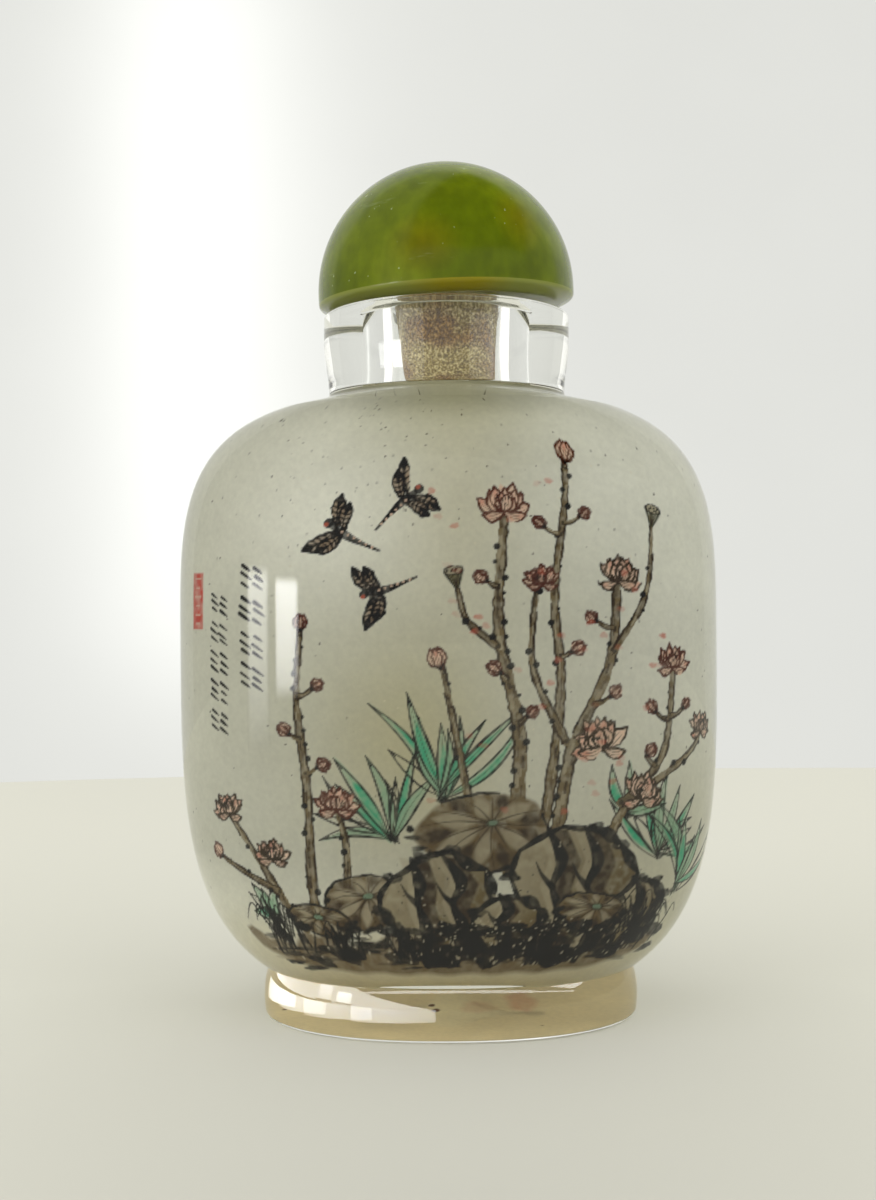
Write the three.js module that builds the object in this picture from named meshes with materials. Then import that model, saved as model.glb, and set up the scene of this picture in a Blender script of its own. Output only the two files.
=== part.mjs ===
// Inside-painted snuff bottle: a flattened glass flask on an oval foot, closed by a domed
// green stone cap whose tapered cork sits in the mouth. Millimetres, +Z up, -Y is the front.
// The origin is the centre of the foot's underside, on the surface the bottle stands on.
import * as THREE from "three";

// Driving dimensions of the flask.
const BODY_WIDTH = 46;
const BODY_DEPTH = 28;
const WAIST_Z = 32; // height of the widest section
const GROOVE_Z = 4.2; // crease between the body and the foot
const RIM_Z = 59.6; // flat top of the neck
const WALL = 2.7;

// The body's outline is a superellipse above and below the waist: half of its width, and
// half of its depth, fall to nothing at these reaches from the waist.
const WIDTH_ABOVE = { reach: 20.55, power: 3.62 };
const WIDTH_BELOW = { reach: 30.2, power: 3.6 };
const DEPTH_ABOVE = { reach: 28, power: 2.5 };
const DEPTH_BELOW = { reach: 37, power: 2.5 };
const BODY_SQUARENESS = 2.2; // exponent of the horizontal section, where 2 is an ellipse

// Neck: a straight lip over a slight taper, then a fillet onto the shoulder.
const LIP_RADIUS = 10.57;
const LIP_BOTTOM_Z = 57.1;
const LIP_EDGE = 0.35; // rounding of the lip's outer top edge
const NECK_RADIUS = 10.15;
const NECK_BOTTOM_Z = 53;
const SHOULDER_FILLET = 0.9;

// Foot: an oval pad that swells between the groove and its flat underside.
const FOOT_BULGE_WIDTH = 32.1;
const FOOT_BULGE_Z = 1.6;
const FOOT_SWELL = 0.0666; // how fast the side falls away from the bulge, per mm squared
const FOOT_NARROWER = 5.1; // the foot's half depth is this much less than its half width
const FOOT_EDGE = 0.4;

// Mouth and cavity. The cavity's roof and floor close as superellipses too.
const BORE_RADIUS = 4.75;
const BORE_BEVEL = 0.25;
const CAVITY_TOP_Z = 51.4;
const CAVITY_FLOOR_Z = 5.6;
const CAVITY_ABOVE = { reach: CAVITY_TOP_Z - WAIST_Z, power: 3.7 };
const CAVITY_BELOW = { reach: WAIST_Z - CAVITY_FLOOR_Z, power: 5.5 };

// Stopper: a hemisphere with a bevelled base over a tapered cork, set in a little askew.
const CAP_RADIUS = 11;
const CAP_CENTRE_Z = 61.7;
const CAP_EDGE_DROP = 0.9; // from the hemisphere's centre to the lower end of its short wall
const CAP_BASE_DROP = 1.5;
const CAP_BASE_RADIUS = 9.7;
const CAP_LEAN_LEFT = THREE.MathUtils.degToRad(2.4);
const CAP_LEAN_FORWARD = THREE.MathUtils.degToRad(2);
const SOCKET_RADIUS = 4.85;
const SOCKET_DEPTH = 3;
const CORK_TOP_RADIUS = 4.5;
const CORK_MOUTH_RADIUS = 4.45;
const CORK_TIP_RADIUS = 3.9;
const CORK_TIP_Z = 52.6;
const CORK_TIP_EDGE = 0.3;
const CORK_SEAT_GAP = 0.3; // clearance between the top of the cork and its socket

const AROUND = 56; // points around each section of the flask
const STOPPER_AROUND = 48;

const superellipse = (share, power) => Math.max(0, 1 - share ** power) ** (1 / power);

// How far a half size has fallen at height z, as a share of its size at the waist.
function fall(z, above, below) {
  const curve = z > WAIST_Z ? above : below;
  return superellipse(Math.abs(z - WAIST_Z) / curve.reach, curve.power);
}

// One horizontal section: half width a, half depth b, and the exponent of its outline.
const section = (z, a, b, squareness = 2) => ({ z, a, b, squareness });

const round = (z, radius) => section(z, radius, radius);

// Heights from one to another, closer together towards the second.
function easedHeights(from, to, count) {
  return Array.from({ length: count }, (_, i) => {
    const turn = (Math.PI / 2) * ((i + 1) / count);
    return from + (to - from) * Math.sin(turn);
  });
}

function footHalfWidth(z) {
  return FOOT_BULGE_WIDTH / 2 - FOOT_SWELL * (z - FOOT_BULGE_Z) ** 2;
}

// The foot from its underside round its edge and up to the groove.
function footSections() {
  const footSection = (z, inset) => {
    const a = footHalfWidth(z) - inset;
    return section(z, a, a - FOOT_NARROWER, BODY_SQUARENESS);
  };
  const rows = [];
  for (const part of [0, 1 / 3, 2 / 3, 1]) {
    const turn = (Math.PI / 2) * part;
    rows.push(footSection(FOOT_EDGE * (1 - Math.cos(turn)), FOOT_EDGE * (1 - Math.sin(turn))));
  }
  for (const z of [1, 1.8, 2.6, 3.4, GROOVE_Z]) rows.push(footSection(z, 0));
  return rows;
}

const bodySection = (z) =>
  section(
    z,
    (BODY_WIDTH / 2) * fall(z, WIDTH_ABOVE, WIDTH_BELOW),
    (BODY_DEPTH / 2) * fall(z, DEPTH_ABOVE, DEPTH_BELOW),
    BODY_SQUARENESS,
  );

// The body's outer face from just above the groove to where the shoulder meets the fillet.
function bodySections() {
  const shoulderTop = NECK_BOTTOM_Z - SHOULDER_FILLET - 0.75;
  return [
    ...easedHeights(WAIST_Z, GROOVE_Z + 0.25, 11).reverse(),
    WAIST_Z,
    ...easedHeights(WAIST_Z, shoulderTop, 12),
  ].map(bodySection);
}

// The fillet, the taper, the lip and the flat rim, as far as the mouth.
function neckSections() {
  const rows = [];
  for (const part of [0.15, 0.5, 1]) {
    const turn = (Math.PI / 2) * part;
    const out = SHOULDER_FILLET * (1 - Math.sin(turn));
    rows.push(round(NECK_BOTTOM_Z - SHOULDER_FILLET * Math.cos(turn), NECK_RADIUS + out));
  }
  rows.push(round((NECK_BOTTOM_Z + LIP_BOTTOM_Z) / 2, NECK_RADIUS + 0.12));
  rows.push(round(LIP_BOTTOM_Z, LIP_RADIUS));
  rows.push(round(RIM_Z - LIP_EDGE, LIP_RADIUS));
  rows.push(round(RIM_Z - LIP_EDGE * 0.3, LIP_RADIUS - LIP_EDGE * 0.3));
  rows.push(round(RIM_Z, LIP_RADIUS - LIP_EDGE));
  return rows;
}

// Down the mouth and round the cavity to its floor.
function cavitySections() {
  const rows = [
    round(RIM_Z, BORE_RADIUS + BORE_BEVEL),
    round(RIM_Z - BORE_BEVEL, BORE_RADIUS),
    round(CAVITY_TOP_Z + BORE_BEVEL, BORE_RADIUS),
  ];
  const cavitySection = (z) => {
    const share = fall(z, CAVITY_ABOVE, CAVITY_BELOW);
    return section(
      z,
      (BODY_WIDTH / 2 - WALL) * share,
      (BODY_DEPTH / 2 - WALL) * share,
      BODY_SQUARENESS,
    );
  };
  const roof = CAVITY_TOP_Z - 0.15; // where the section is still wider than the mouth
  const floor = CAVITY_FLOOR_Z + 0.12;
  const heights = [
    ...easedHeights(WAIST_Z, roof, 9).reverse(),
    WAIST_Z,
    ...easedHeights(WAIST_Z, floor, 9),
  ];
  return rows.concat(heights.map(cavitySection));
}

function ringPoints({ z, a, b, squareness }) {
  const power = 2 / squareness;
  return Array.from({ length: AROUND }, (_, i) => {
    const turn = (2 * Math.PI * i) / AROUND;
    const c = Math.cos(turn);
    const s = Math.sin(turn);
    return [
      a * Math.sign(c) * Math.abs(c) ** power,
      b * Math.sign(s) * Math.abs(s) ** power,
      z,
    ];
  });
}

// Skins the sections in order and closes both ends with a point on the axis.
function loft(rows, firstPoleZ, lastPoleZ) {
  const points = [[0, 0, firstPoleZ], ...rows.flatMap(ringPoints), [0, 0, lastPoleZ]];
  const faces = [];
  const at = (row, i) => 1 + row * AROUND + (i % AROUND);
  for (let i = 0; i < AROUND; i++) {
    faces.push([0, at(0, i + 1), at(0, i)]);
    for (let row = 0; row + 1 < rows.length; row++) {
      faces.push([at(row, i), at(row, i + 1), at(row + 1, i + 1)]);
      faces.push([at(row, i), at(row + 1, i + 1), at(row + 1, i)]);
    }
    faces.push([points.length - 1, at(rows.length - 1, i), at(rows.length - 1, i + 1)]);
  }
  const geometry = new THREE.BufferGeometry();
  geometry.setAttribute("position", new THREE.Float32BufferAttribute(points.flat(), 3));
  geometry.setIndex(faces.flat());
  geometry.computeVertexNormals();
  return geometry;
}

// A turned piece about +Z from [radius, z] points that start and end on the axis.
function turned(profile) {
  const points = profile.map(([radius, z]) => new THREE.Vector2(radius, z));
  return new THREE.LatheGeometry(points, STOPPER_AROUND).rotateX(Math.PI / 2);
}

function makeBottle() {
  const rows = [...footSections(), ...bodySections(), ...neckSections(), ...cavitySections()];
  const glass = new THREE.MeshStandardMaterial({
    color: 0xc9c9b8,
    roughness: 0.05,
    metalness: 0,
    transparent: true,
    opacity: 0.6,
  });
  const bottle = new THREE.Mesh(loft(rows, 0, CAVITY_FLOOR_Z), glass);
  bottle.name = "bottle";
  return bottle;
}

// Both stopper pieces are drawn about the hemisphere's centre, where their group is turned.
function makeCap() {
  const dome = Array.from({ length: 17 }, (_, i) => {
    const turn = (Math.PI / 2) * (i / 16);
    return [CAP_RADIUS * Math.cos(turn), CAP_RADIUS * Math.sin(turn)];
  });
  dome[dome.length - 1][0] = 0;
  const profile = [
    [0, SOCKET_DEPTH - CAP_BASE_DROP],
    [SOCKET_RADIUS, SOCKET_DEPTH - CAP_BASE_DROP],
    [SOCKET_RADIUS, -CAP_BASE_DROP],
    [CAP_BASE_RADIUS, -CAP_BASE_DROP],
    [CAP_RADIUS, -CAP_EDGE_DROP],
    ...dome,
  ];
  const stone = new THREE.MeshStandardMaterial({ color: 0x6a7a22, roughness: 0.25, metalness: 0 });
  const cap = new THREE.Mesh(turned(profile), stone);
  cap.name = "stopper_cap";
  return cap;
}

function makeCork() {
  const tip = CORK_TIP_Z - CAP_CENTRE_Z;
  const mouth = RIM_Z - CAP_CENTRE_Z;
  const top = SOCKET_DEPTH - CAP_BASE_DROP - CORK_SEAT_GAP;
  const profile = [
    [0, tip],
    [CORK_TIP_RADIUS - CORK_TIP_EDGE, tip],
    [CORK_TIP_RADIUS, tip + CORK_TIP_EDGE],
    [CORK_MOUTH_RADIUS, mouth],
    [CORK_TOP_RADIUS, -CAP_BASE_DROP],
    [CORK_TOP_RADIUS, top],
    [0, top],
  ];
  const bark = new THREE.MeshStandardMaterial({ color: 0xa08a62, roughness: 0.95, metalness: 0 });
  const cork = new THREE.Mesh(turned(profile), bark);
  cork.name = "stopper_cork";
  return cork;
}

const stopper = new THREE.Group();
stopper.add(makeCap(), makeCork());
stopper.position.z = CAP_CENTRE_Z;
stopper.rotation.set(CAP_LEAN_FORWARD, -CAP_LEAN_LEFT, 0);

const snuffBottle = new THREE.Group();
snuffBottle.add(makeBottle(), stopper);

export default snuffBottle;
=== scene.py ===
"""Inside-painted glass snuff bottle with a green stone stopper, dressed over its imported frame.

Metres, +Z up, the front faces -Y. The bottle's lengths are written in millimetres and turned into
metres by MM. The room's are plain metres, and the picture is drawn in millimetres.
"""

import math

import bpy
import numpy as np
from mathutils import Matrix, Vector


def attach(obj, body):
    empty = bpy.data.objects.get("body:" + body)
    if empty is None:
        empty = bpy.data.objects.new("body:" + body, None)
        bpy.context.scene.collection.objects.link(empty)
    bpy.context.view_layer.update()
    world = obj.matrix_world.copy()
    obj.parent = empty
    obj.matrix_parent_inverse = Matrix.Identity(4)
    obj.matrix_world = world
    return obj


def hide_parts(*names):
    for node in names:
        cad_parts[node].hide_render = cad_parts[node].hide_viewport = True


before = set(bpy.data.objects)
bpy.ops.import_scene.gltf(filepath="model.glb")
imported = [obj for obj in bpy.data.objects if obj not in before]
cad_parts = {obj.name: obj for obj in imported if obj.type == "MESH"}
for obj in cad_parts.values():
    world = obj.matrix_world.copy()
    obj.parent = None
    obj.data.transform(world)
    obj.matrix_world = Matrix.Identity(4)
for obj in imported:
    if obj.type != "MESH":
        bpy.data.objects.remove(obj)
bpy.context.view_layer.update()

MM = 0.001

# Flask. The outline is a superellipse above and below its waist, as in the frame.
BODY_WIDTH = 46 * MM
BODY_DEPTH = 28 * MM
WAIST_Z = 32 * MM
GROOVE_Z = 4.2 * MM
RIM_Z = 59.6 * MM
WALL = 2.7 * MM
WIDTH_CURVE = {"above": (20.55 * MM, 3.62), "below": (30.2 * MM, 3.6)}
DEPTH_CURVE = {"above": (28 * MM, 2.5), "below": (37 * MM, 2.5)}
SQUARENESS = 2.2

# Neck
LIP_RADIUS = 10.57 * MM
LIP_BOTTOM_Z = 57.1 * MM
LIP_EDGE = 0.35 * MM
NECK_RADIUS = 10.15 * MM
NECK_BOTTOM_Z = 53 * MM
SHOULDER_FILLET = 0.9 * MM

# Foot
FOOT_HALF_WIDTH = 16.05 * MM
FOOT_BULGE_Z = 1.6 * MM
FOOT_SWELL = 66.6  # per metre: how fast the foot narrows above and below its bulge
FOOT_NARROWER = 5.1 * MM
FOOT_EDGE = 0.4 * MM

# Mouth and cavity
BORE_RADIUS = 4.75 * MM
BORE_BEVEL = 0.25 * MM
CAVITY_TOP_Z = 51.4 * MM
CAVITY_FLOOR_Z = 5.6 * MM
CAVITY_CURVE = {
    "above": (CAVITY_TOP_Z - WAIST_Z, 3.7),
    "below": (WAIST_Z - CAVITY_FLOOR_Z, 5.5),
}

# Stopper
CAP_RADIUS = 11 * MM
CAP_CENTRE_Z = 61.7 * MM
CAP_EDGE_DROP = 0.9 * MM
CAP_BASE_DROP = 1.5 * MM
CAP_BASE_RADIUS = 9.7 * MM
CAP_ROUNDING = 0.3 * MM
CAP_LEAN_LEFT = math.radians(2.4)
CAP_LEAN_FORWARD = math.radians(2)
SOCKET_RADIUS = 4.85 * MM
SOCKET_DEPTH = 3 * MM
CORK_TOP_RADIUS = 4.5 * MM
CORK_MOUTH_RADIUS = 4.45 * MM
CORK_TIP_RADIUS = 3.9 * MM
CORK_TIP_Z = 52.6 * MM
CORK_TIP_EDGE = 0.3 * MM
CORK_SEAT_GAP = 0.3 * MM
CORK_PIT_DEPTH = 0.14 * MM

# The cavity's wall runs from its roof, just outside the mouth, to its floor, at these shares of
# its waist size.
ROOF_SHARE = 0.44
FLOOR_SHARE = 0.002

# Film: the frosting and paint lie this far outside the cavity's wall, bonded into the glass.
FILM_OFFSET = 0.03 * MM
# Near the foot the frosting runs deeper, almost down to the groove.
FILM_SETTLES_BELOW = 8.5 * MM
FILM_FLOOR_Z = 4.35 * MM
# Spacing of the painted points
FRONT_PITCH = 0.11 * MM
BACK_PITCH = 0.25 * MM

# Camera: level, a little above half the bottle's height.
CAMERA_DISTANCE = 125.7 * MM
CAMERA_HEIGHT = 35.2 * MM
CAMERA_LEFT = 0.87 * MM
CAMERA_ROLL = math.radians(0.4)
CAMERA_LENS = 43.56

# Room
TABLE_RADIUS = 0.62
TABLE_BACK_Y = 0.175
WALL_Y = 1.6
SHADE_SHEET_Z = 0.45
ROOM_LIGHT = 1.25
MIRRORED_LIGHT = 0.4
LOW_PANE_GAP = 6.2 * MM
LOW_PANE_Z = 1.5 * MM

SEED = 7


# ---------------------------------------------------------------- shape helpers


def superellipse(share, power):
    return np.maximum(0, 1 - np.asarray(share) ** power) ** (1 / power)


def fall(z, curve):
    """What share of its waist size a half width or half depth keeps at height z."""
    z = np.asarray(z, float)
    up = superellipse(np.abs(z - WAIST_Z) / curve["above"][0], curve["above"][1])
    down = superellipse(np.abs(z - WAIST_Z) / curve["below"][0], curve["below"][1])
    return np.where(z > WAIST_Z, up, down)


def eased(start, end, count):
    """Heights from start to end, without the first, closer together towards the end."""
    turns = np.linspace(0, math.pi / 2, count + 1)[1:]
    return start + (end - start) * np.sin(turns)


def ring(z, a, b, squareness, turns):
    power = 2 / squareness
    c, s = np.cos(turns), np.sin(turns)
    x = a * np.sign(c) * np.abs(c) ** power
    y = b * np.sign(s) * np.abs(s) ** power
    return np.stack([x, y, np.full_like(x, z)], axis=1)


def add_mesh(name, vertices, faces, sharp_degrees=None):
    mesh = bpy.data.meshes.new(name)
    mesh.from_pydata(vertices, [], faces)
    mesh.polygons.foreach_set("use_smooth", np.ones(len(mesh.polygons), bool))
    if sharp_degrees is not None:
        mesh.set_sharp_from_angle(angle=math.radians(sharp_degrees))
    mesh.update()
    obj = bpy.data.objects.new(name, mesh)
    bpy.context.scene.collection.objects.link(obj)
    return obj


def colour_points(piece, layer, colours):
    values = np.ones((len(piece.data.vertices), 4), np.float32)
    values[:, :3] = colours
    piece.data.color_attributes.new(layer, "FLOAT_COLOR", "POINT").data.foreach_set("color", values.ravel())


def skin(rows, closed):
    """Quads between neighbouring rows of points. Returns the vertices and the faces."""
    rows = np.asarray(rows)
    count, around = rows.shape[:2]
    index = np.arange(count * around).reshape(count, around)
    if closed:
        index = np.concatenate([index, index[:, :1]], axis=1)
    corners = [index[:-1, :-1], index[:-1, 1:], index[1:, 1:], index[1:, :-1]]
    quads = np.stack(corners, axis=-1).reshape(-1, 4)
    return rows.reshape(-1, 3), quads


def closed_skin(rows, first_pole, last_pole):
    """Rings joined into a closed body, with a fan of triangles to a point at each end."""
    vertices, quads = skin(rows, closed=True)
    around = rows.shape[1]
    last_ring = len(vertices) - around
    first, last = len(vertices), len(vertices) + 1
    faces = quads.tolist()
    for i in range(around):
        j = (i + 1) % around
        faces.append([first, j, i])
        faces.append([last, last_ring + i, last_ring + j])
    return np.vstack([vertices, first_pole, last_pole]), faces


def even_steps(profile, step):
    """Points along a line of [radius, z] corners, no further apart than step."""
    points = [profile[0]]
    for start, end in zip(profile, profile[1:]):
        count = max(1, math.ceil(math.dist(start, end) / step))
        points.extend(np.linspace(start, end, count + 1)[1:].tolist())
    return points


def rounded(profile, radius, steps=4):
    """The line with its inner corners cut back by radius and rounded."""
    points = [Vector(p) for p in profile]
    line = [points[0]]
    for before, corner, after in zip(points, points[1:], points[2:]):
        start = corner + (before - corner).normalized() * min(radius, (before - corner).length / 2)
        end = corner + (after - corner).normalized() * min(radius, (after - corner).length / 2)
        for i in range(steps + 1):
            t = i / steps
            line.append(start * (1 - t) ** 2 + corner * 2 * t * (1 - t) + end * t * t)
    return [list(p) for p in line + [points[-1]]]


def turned(profile, around):
    """Rings about +Z from [radius, z] points that start and end on the axis."""
    turns = np.linspace(0, 2 * math.pi, around, endpoint=False)
    rows = np.array([ring(z, r, r, 2, turns) for r, z in profile[1:-1]])
    return closed_skin(rows, [0, 0, profile[0][1]], [0, 0, profile[-1][1]])


# ---------------------------------------------------------------- glass flask


def foot_half_width(z):
    return FOOT_HALF_WIDTH - FOOT_SWELL * (z - FOOT_BULGE_Z) ** 2


def flask_sections():
    """(z, half width, half depth, squareness) from the underside, up the outside and down the
    inside to the cavity's floor."""
    rows = []

    def foot(z, inset):
        a = foot_half_width(z) - inset
        rows.append((z, a, a - FOOT_NARROWER, SQUARENESS))

    def body(z):
        a = BODY_WIDTH / 2 * float(fall(z, WIDTH_CURVE))
        b = BODY_DEPTH / 2 * float(fall(z, DEPTH_CURVE))
        rows.append((z, a, b, SQUARENESS))

    def round_row(z, radius):
        rows.append((z, radius, radius, 2))

    for inset in (14 * MM, 9 * MM, 4 * MM, 1.2 * MM):
        foot(0, inset)
    for turn in np.linspace(0, math.pi / 2, 7):
        foot(FOOT_EDGE * (1 - math.cos(turn)), FOOT_EDGE * (1 - math.sin(turn)))
    for z in np.linspace(FOOT_EDGE, GROOVE_Z, 14)[1:]:
        foot(z, 0)
    for z in eased(WAIST_Z, GROOVE_Z + 0.2 * MM, 40)[::-1]:
        body(z)
    body(WAIST_Z)
    for z in eased(WAIST_Z, NECK_BOTTOM_Z - SHOULDER_FILLET - 0.75 * MM, 40):
        body(z)
    for turn in np.radians((13, 28, 45, 60, 75, 90)):
        out = SHOULDER_FILLET * (1 - math.sin(turn))
        round_row(NECK_BOTTOM_Z - SHOULDER_FILLET * math.cos(turn), NECK_RADIUS + out)
    for t in np.linspace(0, 1, 9)[1:]:
        z = NECK_BOTTOM_Z + (LIP_BOTTOM_Z - NECK_BOTTOM_Z) * t
        round_row(z, NECK_RADIUS + (LIP_RADIUS - NECK_RADIUS) * t * t * (3 - 2 * t))
    for turn in np.linspace(0, math.pi / 2, 7):
        inset = LIP_EDGE * (1 - math.cos(turn))
        round_row(RIM_Z - LIP_EDGE * (1 - math.sin(turn)), LIP_RADIUS - inset)
    for share in (0.25, 0.5, 0.75):
        round_row(RIM_Z, LIP_RADIUS + (BORE_RADIUS - LIP_RADIUS) * share)
    for turn in np.linspace(0, math.pi / 2, 5):
        inset = BORE_BEVEL * (1 - math.sin(turn))
        round_row(RIM_Z - BORE_BEVEL * (1 - math.cos(turn)), BORE_RADIUS + inset)
    for z in np.linspace(RIM_Z - BORE_BEVEL, CAVITY_TOP_Z + BORE_BEVEL, 8)[1:]:
        round_row(z, BORE_RADIUS)
    for z, share in cavity_profile(40):
        rows.append(cavity_section(z, share, 0))
    return rows


def cavity_profile(count):
    """Heights down the cavity's wall from its roof to its floor, and the share of its waist size
    kept at each, with the turns of the superellipse evenly spaced."""
    places = []
    for part, way, end in (("above", 1, ROOF_SHARE), ("below", -1, FLOOR_SHARE)):
        reach, power = CAVITY_CURVE[part]
        last = math.acos(end ** (power / 2))
        turns = np.linspace(0, last, count)
        z = WAIST_Z + way * reach * np.sin(turns) ** (2 / power)
        share = np.cos(turns) ** (2 / power)
        places.append(np.stack([z, share], axis=1))
    roof, floor = places
    return np.vstack([roof[::-1], floor[1:]])


def cavity_section(z, share, offset):
    a = (BODY_WIDTH / 2 - WALL) * share + offset
    b = (BODY_DEPTH / 2 - WALL) * share + offset
    return (z, a, b, SQUARENESS)


def glass_flask():
    turns = np.linspace(0, 2 * math.pi, 200, endpoint=False)
    rows = np.array([ring(*section, turns) for section in flask_sections()])
    shell = closed_skin(rows, [0, 0, 0], [0, 0, CAVITY_FLOOR_Z])
    flask = add_mesh("bottle_glass", *shell, sharp_degrees=50)
    flask.data.materials.append(clear_glass())
    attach(flask, "root")
    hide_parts("bottle")


# ---------------------------------------------------------------- painting

INK = (12, 10, 10)
BROWN_INK = (52, 37, 19)
UMBER = (102, 82, 48)
WASH = (122, 105, 72)
ROCK_BROWN = (112, 96, 60)
STONE_GREY = (178, 168, 140)
SALMON = (230, 198, 172)
CORAL = (200, 98, 74)
RUSSET = (84, 38, 22)
TURQUOISE = (58, 176, 132)
PALE_GREEN = (146, 182, 148)
OLIVE_GREEN = (96, 112, 66)
SEAL_RED = (200, 78, 62)
SCRATCH = (216, 190, 170)
WING_TAN = (158, 134, 108)
GRIT = (232, 224, 200)
FROST_TONE = (218, 217, 201)
# Tan of the painted reflection under the foot
FOOT_MIRRORED_TAN = (232, 216, 172)
MOUTH_TONE = (184, 180, 150)


def linear(colour):
    """An 8-bit display colour as linear values."""
    c = np.asarray(colour, float) / 255
    return np.where(c <= 0.04045, c / 12.92, ((c + 0.055) / 1.055) ** 2.4)


def smooth_line(points, step=0.12):
    """A soft curve through the points, in short even steps."""
    points = np.asarray(points, float)
    if len(points) == 2:
        count = max(2, int(np.linalg.norm(points[1] - points[0]) / step) + 1)
        return np.linspace(points[0], points[1], count)
    ends = np.vstack([2 * points[0] - points[1], points, 2 * points[-1] - points[-2]])
    pieces = []
    for p0, p1, p2, p3 in zip(ends, ends[1:], ends[2:], ends[3:]):
        count = max(2, int(np.linalg.norm(p2 - p1) / step) + 1)
        t = np.linspace(0, 1, count, endpoint=False)[:, None]
        pieces.append(
            0.5 * (2 * p1 + (p2 - p0) * t + (2 * p0 - 5 * p1 + 4 * p2 - p3) * t**2
                   + (3 * p1 - p0 - 3 * p2 + p3) * t**3)
        )
    return np.vstack([*pieces, points[-1:]])


def cloud(rng, shape, cell, octaves):
    """Soft seeded noise from 0 to 1, with blotches about cell samples wide."""
    rows, cols = shape
    total, weight = np.zeros(shape), 0
    for octave in range(octaves):
        size = max(2, cell / 2**octave)
        grid = rng.random((int(rows / size) + 3, int(cols / size) + 3))
        r, c = np.arange(rows) / size, np.arange(cols) / size
        i, j = r.astype(int), c.astype(int)
        u, v = (r - i)[:, None], (c - j)[None, :]
        u, v = u * u * (3 - 2 * u), v * v * (3 - 2 * v)
        top = grid[i][:, j] * (1 - v) + grid[i][:, j + 1] * v
        low = grid[i + 1][:, j] * (1 - v) + grid[i + 1][:, j + 1] * v
        total += (top * (1 - u) + low * u) / 2**octave
        weight += 1 / 2**octave
    return total / weight


def heading(turn):
    """A unit step in the picture, turned to the right of straight up."""
    return np.array([math.sin(turn), math.cos(turn)])


def distance(x, z, along):
    """How far places are from the segment that leads from (0, 0) to along."""
    t = np.clip((x * along[0] + z * along[1]) / max(along @ along, 1e-9), 0, 1)
    return np.hypot(x - t * along[0], z - t * along[1])


class Film:
    """Paint over one wall. Places are in millimetres: x along the wall from its middle, z up."""

    def __init__(self, x, z, rng):
        self.x, self.z = x, z
        self.rng = rng
        self.colour = np.zeros((len(z), len(x), 3))
        self.fine = cloud(rng, self.colour.shape[:2], 5, 2)
        self.broad = cloud(rng, self.colour.shape[:2], 40, 3)

    def window(self, low, high):
        """The part of the film from one corner to the other, as two slices and its places."""
        columns = slice(*np.searchsorted(self.x, (low[0], high[0])))
        rows = slice(*np.searchsorted(self.z, (low[1], high[1])))
        return rows, columns, self.x[columns][None, :], self.z[rows][:, None]

    def lay(self, rows, columns, cover, colour, grain=0.25):
        """Covers the window with a colour, thinner where the grain of the film is low."""
        texture = 1 - grain + grain * 2 * self.fine[rows, columns]
        cover = np.clip(cover * texture, 0, 1)[..., None]
        kept = self.colour[rows, columns]
        self.colour[rows, columns] = kept * (1 - cover) + linear(colour) * cover

    def stroke(self, points, width, colour, strength=1.0, grain=0.25, soft=0.06):
        """One brush stroke. width is one value, or values spread evenly along the stroke."""
        line = smooth_line(points)
        width = np.atleast_1d(width)
        half = np.interp(np.linspace(0, 1, len(line)), np.linspace(0, 1, len(width)), width) / 2
        reach = half.max() + soft
        low, high = line.min(axis=0) - reach, line.max(axis=0) + reach
        rows, columns, x, z = self.window(low, high)
        cover = np.zeros((z.shape[0], x.shape[1]))
        for start, end, r in zip(line, line[1:], (half[:-1] + half[1:]) / 2):
            near = self.window(np.minimum(start, end) - reach, np.maximum(start, end) + reach)
            part = slice(near[0].start - rows.start, near[0].stop - rows.start)
            span = slice(near[1].start - columns.start, near[1].stop - columns.start)
            away = distance(near[2] - start[0], near[3] - start[1], end - start)
            cover[part, span] = np.maximum(cover[part, span], np.clip(0.5 + (r - away) / soft, 0, 1))
        self.lay(rows, columns, cover * strength, colour, grain)

    def fill(self, outline, colour, strength=1.0, grain=0.25, soft=0.12, fade=None):
        """A filled shape with soft edges. fade maps places in it to a share of the strength."""
        outline = np.asarray(outline, float)
        rows, columns, x, z = self.window(outline.min(axis=0) - soft, outline.max(axis=0) + soft)
        inside = np.zeros((z.shape[0], x.shape[1]), bool)
        nearest = np.full(inside.shape, 1e9)
        for start, end in zip(outline, np.roll(outline, -1, axis=0)):
            crosses = (start[1] > z) != (end[1] > z)
            rise = end[1] - start[1] if end[1] != start[1] else 1e-9
            inside ^= crosses & (x < start[0] + (z - start[1]) * (end[0] - start[0]) / rise)
            nearest = np.minimum(nearest, distance(x - start[0], z - start[1], end - start))
        cover = np.clip(0.5 + np.where(inside, nearest, -nearest) / soft, 0, 1) * strength
        if fade is not None:
            cover = cover * np.clip(fade(x, z), 0, 1)
        self.lay(rows, columns, cover, colour, grain)

    def dot(self, place, radius, colour, strength=1.0):
        x, z = place
        self.stroke([(x, z), (x + radius * 0.3, z + radius * 0.2)], radius * 2, colour, strength, 0.1)


def blob(centre, width, height, wobble, turn, rng, count):
    """A closed round outline of count points, with its edge waved by wobble."""
    turns = np.linspace(0, 2 * math.pi, count, endpoint=False)
    reach = np.ones(count)
    for waves in (2, 3, 5, 8):
        reach += wobble * rng.uniform(0.3, 1) / waves**0.5 * np.sin(waves * turns + rng.uniform(0, 6))
    x, z = width / 2 * reach * np.cos(turns), height / 2 * reach * np.sin(turns)
    c, s = math.cos(turn), math.sin(turn)
    return np.stack([centre[0] + x * c - z * s, centre[1] + x * s + z * c], axis=1)


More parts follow.
